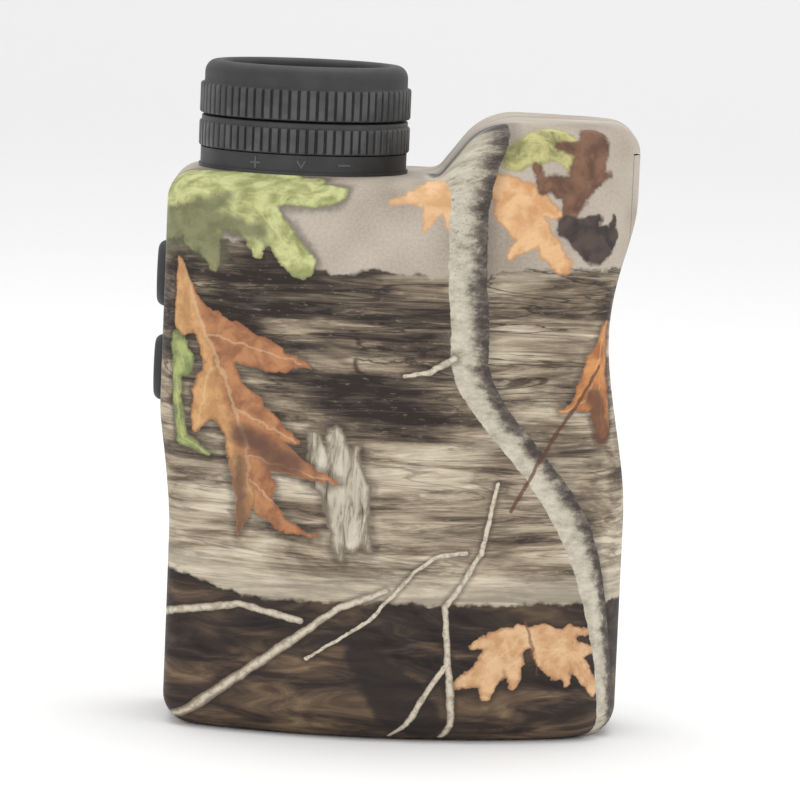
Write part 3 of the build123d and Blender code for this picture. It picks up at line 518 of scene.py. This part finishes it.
def near_leaves(g, leaves, colour, flat, u, v):
    """Green and orange oak leaves on the left, orange leaf on the right, peach leaf at the foot."""
    colour = leaves.lay(
        colour, GREEN_LEFT, paint(170, 178, 112), paint(118, 128, 84), paint(92, 98, 70))
    colour = leaves.lay(
        colour, GREEN_OAK, paint(198, 202, 142), paint(146, 150, 96), paint(108, 110, 74))
    shade = g.step(strokes(g, flat, GREEN_SHADE)[0], 1.0, -0.8)
    colour = tinted(g, colour, shade, 0.75, paint(98, 97, 76))

    from_rib = g.math("MULTIPLY_ADD", v, RIB_LEAN, g.math("SUBTRACT", u, RIB_FOOT))
    left_half = g.step(from_rib, 1.6, -0.4)
    tan = g.mix(left_half, paint(184, 130, 90), paint(208, 162, 112))
    brown = g.mix(left_half, paint(144, 97, 70), paint(180, 134, 90))
    colour = leaves.lay(colour, ORANGE_OAK, tan, brown, paint(138, 86, 58), ribs=ORANGE_RIBS)
    scorch = g.step(strokes(g, flat, ORANGE_DARK)[0], 1.2, -1.2)
    tips = g.step(strokes(g, flat, ORANGE_TIPS)[0], 0.1, -0.3)
    colour = tinted(g, colour, g.math("MULTIPLY", scorch, tips), 0.8, paint(92, 68, 58))

    colour = leaves.lay(
        colour, ORANGE_RIGHT, paint(206, 146, 92), paint(164, 104, 66), paint(140, 90, 62))
    withered = g.step(strokes(g, flat, BROWN_RIGHT)[0], 0.8, -0.8)
    colour = tinted(g, colour, withered, 0.8, paint(96, 66, 54))
    colour = leaves.lay(
        colour, PEACH_BOTTOM, paint(220, 182, 140), paint(196, 150, 108), paint(150, 104, 76),
        ribs=PEACH_RIBS)
    midrib = g.step(strokes(g, flat, PEACH_RIBS[:2])[0], 0.1, -0.2)
    return tinted(g, colour, midrib, 0.7, paint(112, 72, 52))


def sticks(g, point, flat, colour, u, v):
    """Branch and twigs that lie over everything else."""
    width = g.math("SUBTRACT", u, g.curve(v, BRANCH, -20.0, 110.0))
    width = g.math("DIVIDE", width, BRANCH_HALF)
    cast = g.math("MULTIPLY", g.step(width, 1.9, 0.9), g.step(width, 0.4, 0.9))
    colour = tinted(g, colour, cast, 0.4, paint(50, 43, 41))
    colour = g.mix(g.step(g.math("ABSOLUTE", width), 1.03, 0.97), colour, bark(g, point, v, width))

    dark_twig = strokes(g, flat, DARK_TWIG, melt=0.05)[0]
    colour = tinted(g, colour, g.step(dark_twig, 0.12, -0.08), 0.8, paint(92, 58, 46))
    twig, middle = strokes(g, flat, TWIGS, melt=0.1)
    colour = tinted(g, colour, g.step(twig, 0.9, 0.0), 0.5, paint(46, 38, 35))
    patches = g.step(g.noise(point, scale=0.8, detail=4.0, rough=0.7), 0.45, 0.62)
    wood = g.mix(g.step(middle, 0.1, 0.7), paint(208, 198, 178), paint(128, 113, 95))
    wood = tinted(g, wood, patches, 0.5, paint(116, 102, 86))
    return g.mix(g.step(twig, 0.1, -0.08), colour, wood)


def print_group():
    """Node group of the whole print: colour at a flat point (u, v, 0) in millimetres."""
    tree = bpy.data.node_groups.new("camouflage", "ShaderNodeTree")
    tree.interface.new_socket("Point", in_out="INPUT", socket_type="NodeSocketVector")
    tree.interface.new_socket("Color", in_out="OUTPUT", socket_type="NodeSocketColor")
    g = Graph(tree)
    given = tree.nodes.new("NodeGroupInput").outputs[0]
    point = g.mapped(given)
    across, up = g.parts(given)[:2]
    u = g.math("MULTIPLY_ADD", g.noise(point, scale=0.45, detail=4.0, rough=0.6), RAGGED, across)
    elsewhere = g.mapped(point, shift=(50, 0, 0))
    v = g.math("MULTIPLY_ADD", g.noise(elsewhere, scale=0.45, detail=4.0), RAGGED, up)
    u = g.math("SUBTRACT", u, RAGGED / 2)
    v = g.math("SUBTRACT", v, RAGGED / 2)
    flat = g.join(u, v)
    stick_u = g.math("MULTIPLY_ADD", g.math("SUBTRACT", u, across), STICK_SHARE, across)
    stick_v = g.math("MULTIPLY_ADD", g.math("SUBTRACT", v, up), STICK_SHARE, up)
    leaves = LeafLayer(g, point, flat)
    colour = backdrop(g, point, flat, u, v)
    colour = far_leaves(leaves, colour)
    colour = near_leaves(g, leaves, colour, flat, u, v)
    colour = sticks(g, point, g.join(stick_u, stick_v), colour, stick_u, stick_v)
    g.put(tree.nodes.new("NodeGroupOutput").inputs[0], colour)
    return tree


PRINT = print_group()
BOW_RADIUS = 75.0         # radius of the bowed broad faces
WRAP_HALF = 33.0          # half width over which the print follows that bow
FOLD_TOP = (78.0, 84.0)   # heights over which the print folds onto the top
FOLD_FOOT = (5.0, 1.0)    # and onto the front end
FAR_ACROSS = 3.0          # how far the far half's mirrored print is moved
FAR_DOWN = 4.0


def wrapped(g, mirror):
    """Flat print coordinates wrapped round the case, and the depth coordinate."""
    x, y, z = g.parts(g.here)
    width = g.math("MINIMUM", g.math("ABSOLUTE", x), WRAP_HALF)
    bow = g.math("MULTIPLY", g.math("MULTIPLY", width, width), -0.5 / BOW_RADIUS)
    face = g.math("ADD", bow, HALF_DEPTH)
    aside = y if mirror else g.math("MULTIPLY", y, -1.0)
    depth = g.math("MAXIMUM", g.math("SUBTRACT", face, aside), 0.0)
    outward = g.math("MULTIPLY", g.math("MULTIPLY_ADD", g.step(x, -6.0, 6.0), 2.0, -1.0), depth)
    u = g.math("ADD", x, outward)
    rise = g.math("SUBTRACT", g.step(z, *FOLD_TOP), g.step(z, *FOLD_FOOT))
    v = g.math("MULTIPLY_ADD", rise, depth, z)
    if mirror:
        u = g.math("MULTIPLY_ADD", u, -1.0, FAR_ACROSS)
        v = g.math("SUBTRACT", v, FAR_DOWN)
    return g.join(u, v), y


def printed(name, mirror=False, door=False):
    """Satin camouflage print over textured plastic; dark on the faces that look inward."""
    g = Surface(name)
    flat, y = wrapped(g, mirror)
    if door:
        inward = g.step(g.parts(g.given["Normal"])[0], -0.2, -0.4)
    else:
        centred = g.vector("SUBTRACT", g.here, (0.0, 0.0, CASE_TOP / 2))
        inward = g.step(g.vector("DOT_PRODUCT", centred, g.given["Normal"]), -0.5, -2.0)
    group = g.tree.nodes.new("ShaderNodeGroup")
    group.node_tree = PRINT
    g.put(group.inputs[0], flat)
    colour = group.outputs[0]
    if not door:
        seam = g.step(g.math("ABSOLUTE", y), 0.28, 0.1)
        colour = tinted(g, colour, seam, 0.6, paint(70, 62, 60))
    colour = g.mix(inward, colour, paint(38, 38, 39))
    grain = g.noise(g.here, scale=3.2, detail=2.0)
    rough = g.math("MULTIPLY_ADD", grain, 0.14, 0.42)
    rough = g.math("MULTIPLY_ADD", g.noise(g.here, scale=0.4, detail=2.0), 0.06, rough)
    return g.finished(colour, rough, g.bump(grain, 0.18, 0.05), Specular_IOR_Level=0.22)


# ------------------------------------------------------------------ plain materials
def moulded(name, dark, light, scale=4.0, rough=0.5, strength=0.2, highlight_reach=None):
    """Moulded plastic or rubber: fine grain and faint cloudiness.

    The rib tops, as far out from the eyepiece axis as the given reach, get a painted highlight: lighter
    grey in patches, and lower roughness.
    """
    g = Surface(name)
    grain = g.noise(g.here, scale=scale, detail=3.0)
    cloud = g.noise(g.here, scale=0.25, detail=3.0)
    colour = g.mix(g.step(cloud, 0.3, 0.7), dark, light)
    rough_now = g.math("MULTIPLY_ADD", grain, 0.16, rough - 0.08)
    if highlight_reach:
        across, deep = g.parts(g.here)[:2]
        reach = g.vector("LENGTH", g.join(g.math("SUBTRACT", across, EYE_X), deep))
        patchy = g.math("MULTIPLY_ADD", g.step(cloud, 0.4, 0.6), 0.6, 0.4)
        # painted highlight: the rib tops are tinted lighter grey, in patches
        tops = g.math("MULTIPLY", g.step(reach, highlight_reach - 0.2, highlight_reach), patchy)
        colour = tinted(g, colour, tops, 0.45, paint(92, 92, 93))
        rough_now = g.math("MULTIPLY_ADD", tops, -0.12, rough_now)
    return g.finished(colour, rough_now, g.bump(grain, strength, 0.06))


def metal(name, colour, rough, tint):
    """Turned or drawn metal with fine tool marks; the tint is its colour where it is smudged."""
    g = Surface(name)
    marks = g.noise(g.mapped(g.here, scale=(1.0, 1.0, 12.0)), scale=1.5, detail=4.0)
    smudge = g.noise(g.here, scale=0.5, detail=3.0)
    shade = g.mix(g.step(smudge, 0.3, 0.7), colour, tint)
    roughness = g.math("MULTIPLY_ADD", marks, 0.18, rough - 0.09)
    return g.finished(shade, roughness, g.bump(marks, 0.15, 0.02), Metallic=1.0)


def glass(name, tint, bloom, clear=0.9):
    """Coated optical glass with a coloured bloom that varies over the face."""
    g = Surface(name)
    wave = g.noise(g.here, scale=0.08, detail=1.0)
    colour = g.mix(g.step(wave, 0.35, 0.65), tint, bloom)
    dust = g.step(g.noise(g.here, scale=5.0, detail=2.0), 0.66, 0.8)
    roughness = g.math("MULTIPLY_ADD", dust, 0.08, 0.02)
    return g.finished(colour, roughness, Transmission_Weight=clear, IOR=1.52, Coat_Weight=0.5)


RUBBER = (paint(42, 42, 43), paint(52, 52, 53))
materials = {
    "camo_left": printed("camo_left"),
    "camo_right": printed("camo_right", mirror=True),
    "camo_door": printed("camo_door", door=True),
    "rubber": moulded("rubber", *RUBBER, scale=5.0, rough=0.6, strength=0.25),
    # the cup and ring grips get a painted highlight on their rib tops
    "cup_grip": moulded("cup_grip", *RUBBER, scale=5.0, rough=0.6, strength=0.25, highlight_reach=KNURL_R),
    "ring_grip": moulded("ring_grip", *RUBBER, scale=4.5, strength=0.22, highlight_reach=KNURL_R),
    "charcoal": moulded("charcoal", paint(35, 35, 36), paint(45, 45, 46), scale=4.5, strength=0.22),
    # lighter grey that stands in for the highlights on the raised diopter marks
    "mark_painted_highlight": moulded("mark_painted_highlight", paint(74, 74, 75), paint(90, 90, 91), scale=6.0, rough=0.45),
    "bezel": moulded("bezel", paint(34, 34, 35), paint(42, 42, 43), scale=3.5, strength=0.4),
    "anodised": metal("anodised", paint(30, 30, 32), 0.42, paint(40, 40, 43)),
    "steel": metal("steel", paint(176, 176, 178), 0.3, paint(150, 150, 154)),
    "brass": metal("brass", paint(196, 160, 92), 0.32, paint(170, 134, 72)),
    "coated": glass("coated", paint(20, 24, 46), paint(44, 26, 58), clear=0.25),
    "prism": glass("prism", paint(226, 232, 236), paint(214, 228, 228)),
    "filter": glass("filter", paint(96, 14, 20), paint(60, 8, 16)),
    "board": moulded("board", paint(20, 74, 44), paint(28, 90, 54), scale=1.5, rough=0.3, strength=0.1),
    "epoxy": moulded("epoxy", paint(32, 32, 33), paint(42, 42, 43), scale=6.0, rough=0.55),
    "flex": moulded("flex", paint(176, 112, 40), paint(196, 130, 52), scale=1.0, rough=0.3, strength=0.05),
    "silicone": moulded("silicone", paint(150, 24, 22), paint(170, 32, 28), scale=3.0),
    "wrap": moulded("wrap", paint(50, 56, 70), paint(62, 70, 86), scale=1.2, rough=0.26, strength=0.06),
}
SLOT_LOOK = {
    "camo_door": "camo_door", "black_rubber": "rubber", "black_plastic": "charcoal",
    "black_anodised": "anodised", "coated_lens": "coated", "prism_glass": "prism",
    "filter_glass": "filter", "steel": "steel", "brass": "brass", "circuit_board": "board",
    "chip_black": "epoxy", "flex_amber": "flex", "lead_red": "silicone", "battery_wrap": "wrap",
}
NODE_LOOK = {"left_shell": "camo_left", "right_shell": "camo_right", "front_bezel": "bezel"}
for part in frame["record"]["subparts"]:
    look = NODE_LOOK.get(part["node"]) or SLOT_LOOK[part["material_slot"]]
    for slot in frame["nodes"][part["node"]].material_slots:
        slot.material = materials[look]


# ------------------------------------------------------------------ eyepiece rings
RIBS = 72                 # ribs round each band
PER_RIB = 14              # mesh columns to a rib
AROUND = RIBS * PER_RIB
RIB_DEPTH = 0.5
ROLLED_END = ((0.0, 0.35, 0.0), (0.06, 0.16, 0.35), (0.22, 0.03, 0.85), (0.45, 0.0, 1.0))


def rib_height(column):
    """How far the surface lies below the rib tops at one column: flat tops, rounded grooves."""
    share = (column % PER_RIB) / PER_RIB
    groove = max(0.0, 1 - abs(share - 0.5) / 0.2)
    return RIB_DEPTH * math.sin(groove * math.pi / 2) ** 1.5 if groove > 0 else 0.0


def lathe(name, profile):
    """Closed ring about the eyepiece axis from (radius, height, rib share) corners."""
    mesh = bpy.data.meshes.new(name)
    build = bmesh.new()
    rows = []
    for radius, height, share in profile:
        row = []
        for column in range(AROUND):
            angle = 2 * math.pi * column / AROUND
            reach = radius - share * rib_height(column)
            row.append(build.verts.new((
                (EYE_X + reach * math.cos(angle)) * MM, reach * math.sin(angle) * MM, height * MM,
            )))
        rows.append(row)
    for index, row in enumerate(rows):
        above = rows[(index + 1) % len(rows)]
        for column in range(AROUND):
            after = (column + 1) % AROUND
            build.faces.new((row[column], row[after], above[after], above[column]))
    bmesh.ops.recalc_face_normals(build, faces=build.faces)
    build.to_mesh(mesh)
    build.free()
    mesh.shade_smooth()
    piece = bpy.data.objects.new(name, mesh)
    bpy.context.scene.collection.objects.link(piece)
    return piece


def ribbed(low, high):
    """Rows of a ribbed band between two heights, its ends rolled over, bottom first."""
    below = [(KNURL_R - drop, low + rise, share) for rise, drop, share in ROLLED_END]
    above = [(KNURL_R - drop, high - rise, share) for rise, drop, share in reversed(ROLLED_END)]
    return below + above


def rolled(steps, first=0):
    """Angles from first step to last through a quarter turn."""
    return [math.pi / 2 * step / steps for step in range(first, steps + 1)]


LIP_R = 15.6              # outside of the soft lip
LIP_IN = 1.7              # how far its outer edge rolls inward
LIP_UP = 2.0              # and upward
MOUTH_R = 12.5            # opening of the cup
MOUTH_ROLL = 1.0
CUP_BORE_R = 15.1
LIP_FLOOR = 98.0          # underside of the lip
cup_bottom = cup_low.z
cup_rib_top = cup_bottom + 4.7
cup_top = cup_high.z
outer_roll = [
    (LIP_R - LIP_IN + LIP_IN * math.cos(angle), cup_top - LIP_UP + LIP_UP * math.sin(angle), 0.0)
    for angle in rolled(12)
]
inner_roll = [
    (
        MOUTH_R + MOUTH_ROLL - MOUTH_ROLL * math.sin(angle),
        cup_top - MOUTH_ROLL + MOUTH_ROLL * math.cos(angle), 0.0,
    )
    for angle in rolled(8, first=1)
]
cup_profile = [
    (CUP_BORE_R, cup_bottom, 0.0),
    *ribbed(cup_bottom, cup_rib_top),
    (LIP_R + 0.05, cup_rib_top + 0.05, 0.0),
    (LIP_R, cup_rib_top + 0.3, 0.0),
    *outer_roll,
    *inner_roll,
    (MOUTH_R, LIP_FLOOR + 0.6, 0.0),
    (MOUTH_R + 0.1, LIP_FLOOR + 0.1, 0.0),
    (CUP_BORE_R - 0.3, LIP_FLOOR, 0.0),
    (CUP_BORE_R, LIP_FLOOR - 0.3, 0.0),
]
cup = lathe("eye_cup_rubber", cup_profile)
cup.data.materials.append(materials["cup_grip"])
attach(cup, "cup")
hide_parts("eye_cup")

RING_BOTTOM = 88.45       # lower end of the ring's ribbed band
RING_TOP = 92.4
SHOULDER_TOP = 93.2       # top of the smooth band over the ribs
SKIRT_IN_R = 13.4         # skirt that runs inside the base
SKIRT_OUT_R = 14.6
SKIRT_TOP = 88.5
NECK_R = 14.2             # neck that carries the cup's cam ring
NECK_TOP = 97.0
RING_BORE_R = 13.0
ring_profile = [
    (SKIRT_IN_R, ring_low.z, 0.0),
    (SKIRT_OUT_R, ring_low.z, 0.0),
    (SKIRT_OUT_R, RING_BOTTOM, 0.0),
    *ribbed(RING_BOTTOM, RING_TOP),
    (BAND_R, RING_TOP + 0.1, 0.0),
    (BAND_R, SHOULDER_TOP - 0.15, 0.0),
    (BAND_R - 0.15, SHOULDER_TOP, 0.0),
    (NECK_R, SHOULDER_TOP, 0.0),
    (NECK_R, NECK_TOP - 0.1, 0.0),
    (NECK_R - 0.1, NECK_TOP, 0.0),
    (RING_BORE_R, NECK_TOP, 0.0),
    (RING_BORE_R, SKIRT_TOP, 0.0),
    (SKIRT_IN_R, SKIRT_TOP, 0.0),
]
ring = lathe("diopter_grip", ring_profile)
ring.data.materials.append(materials["ring_grip"])
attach(ring, "diopter")
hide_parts("diopter_ring")


# ------------------------------------------------------------------ diopter marks
MARK_Z = 86.95            # height of the marks' middle
MARK_HALF = 0.13          # half width of a bar
MARK_STEPS = 6            # lengths that a bar bends in
MARK_SECTION = (          # (height over the band, share of the half width) round a bar
    (-0.1, 1.0), (0.1, 1.0), (0.14, 0.6), (0.14, -0.6), (0.1, -1.0), (-0.1, -1.0),
)


def mark(name, angle_deg, bars):
    """Raised mark on the base band: bars of (across, up, across, up) about its middle."""
    mesh = bpy.data.meshes.new(name)
    build = bmesh.new()
    for x0, z0, x1, z1 in bars:
        along = Vector((x1 - x0, z1 - z0)).normalized()
        side = Vector((-along.y, along.x)) * MARK_HALF
        ends = [Vector((x0, z0)) - along * MARK_HALF, Vector((x1, z1)) + along * MARK_HALF]
        loops = []
        for step in range(MARK_STEPS + 1):
            spot = ends[0].lerp(ends[1], step / MARK_STEPS)
            loop = []
            for reach, spread in MARK_SECTION:
                place = spot + side * spread
                turn = math.radians(angle_deg) + place.x / BAND_R
                radius = BAND_R + reach
                loop.append(build.verts.new((
                    (EYE_X + radius * math.sin(turn)) * MM, -radius * math.cos(turn) * MM,
                    (MARK_Z + place.y) * MM,
                )))
            loops.append(loop)
        for first, second in zip(loops, loops[1:]):
            for index in range(len(MARK_SECTION)):
                after = (index + 1) % len(MARK_SECTION)
                build.faces.new((first[index], first[after], second[after], second[index]))
        build.faces.new(loops[0])
        build.faces.new(list(reversed(loops[-1])))
    bmesh.ops.recalc_face_normals(build, faces=build.faces)
    build.to_mesh(mesh)
    build.free()
    piece = bpy.data.objects.new(name, mesh)
    bpy.context.scene.collection.objects.link(piece)
    # painted highlight: the raised marks get the lighter grey material
    piece.data.materials.append(materials["mark_painted_highlight"])
    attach(piece, "housing")


mark("plus_mark", -26, [(-0.75, 0, 0.75, 0), (0, -0.75, 0, 0.75)])
mark("pointer_mark", 0, [(-0.55, 0.45, 0, -0.45), (0, -0.45, 0.55, 0.45)])
mark("minus_mark", 24, [(-0.85, 0, 0.85, 0)])


# ------------------------------------------------------------------ studio
def stage_sheet():
    """Pale floor that curves up into a backdrop."""
    mesh = bpy.data.meshes.new("studio_floor")
    build = bmesh.new()
    front, bend_from, bend_r, top, half = -3.0, 1.4, 0.8, 3.0, 4.0
    line = [(front, 0.0), (bend_from, 0.0)]
    for angle in rolled(12, first=1):
        line.append((bend_from + bend_r * math.sin(angle), bend_r - bend_r * math.cos(angle)))
    line.append((bend_from + bend_r, top))
    rows = [[build.verts.new((x, y, z)) for x in (-half, half)] for y, z in line]
    for low, high in zip(rows, rows[1:]):
        build.faces.new((low[0], low[1], high[1], high[0]))
    build.to_mesh(mesh)
    build.free()
    mesh.shade_smooth()
    floor = bpy.data.objects.new("studio_floor", mesh)
    bpy.context.scene.collection.objects.link(floor)
    g = Surface("studio_floor")
    tone = g.noise(g.given["Object"], scale=0.7, detail=1.0)
    colour = g.mix(g.step(tone, 0.3, 0.7), paint(246, 246, 246), paint(250, 250, 250))
    floor.data.materials.append(g.finished(colour, 0.9))


def lamp(name, place, aim, size, power):
    """Rectangular soft light of some watts that faces a point."""
    light = bpy.data.lights.new(name, "AREA")
    light.shape = "RECTANGLE"
    light.size, light.size_y = size
    light.energy = power
    holder = bpy.data.objects.new(name, light)
    holder.location = place
    holder.rotation_euler = (Vector(aim) - Vector(place)).to_track_quat("-Z", "Y").to_euler()
    bpy.context.scene.collection.objects.link(holder)


SKY_STRENGTH = 0.92
stage_sheet()
middle = Vector((0.0, 0.0, CASE_TOP * MM / 2))
lamp("top_softbox", (0.0, 0.12, 0.75), middle, (0.7, 0.5), 2.2)
lamp("front_fill", (-0.35, -0.9, 0.35), middle, (0.8, 0.8), 1.0)
lamp("right_fill", (0.8, -0.4, 0.3), middle, (0.5, 0.8), 0.6)
world = bpy.data.worlds.new("studio")
world.use_nodes = True
glow = world.node_tree.nodes["Background"].inputs
glow["Color"].default_value = (1.0, 1.0, 1.0, 1.0)
glow["Strength"].default_value = SKY_STRENGTH
bpy.context.scene.world = world
bpy.context.scene.view_settings.view_transform = "Standard"

# ------------------------------------------------------------------ camera
TARGET = Vector((-0.35, 0.0, 50.3)) * MM
DISTANCE = 0.760
ELEVATION = math.radians(6.6)
ROLL = math.radians(2.4)
LENS = 220.9              # focal length, in millimetres
SHIFT_X = 0.015           # places the object in the frame as in the picture
SHIFT_Y = -0.0025
camera = bpy.data.objects.new("camera", bpy.data.cameras.new("camera"))
camera.data.sensor_width = 36.0
camera.data.lens = LENS
camera.data.shift_x = SHIFT_X
camera.data.shift_y = SHIFT_Y
camera.data.clip_start = 0.01
aim = Matrix.Rotation(math.pi / 2 - ELEVATION, 4, "X") @ Matrix.Rotation(ROLL, 4, "Z")
behind = Vector((0.0, -math.cos(ELEVATION), math.sin(ELEVATION))) * DISTANCE
camera.matrix_world = Matrix.Translation(TARGET + behind) @ aim
bpy.context.scene.collection.objects.link(camera)
bpy.context.scene.camera = camera
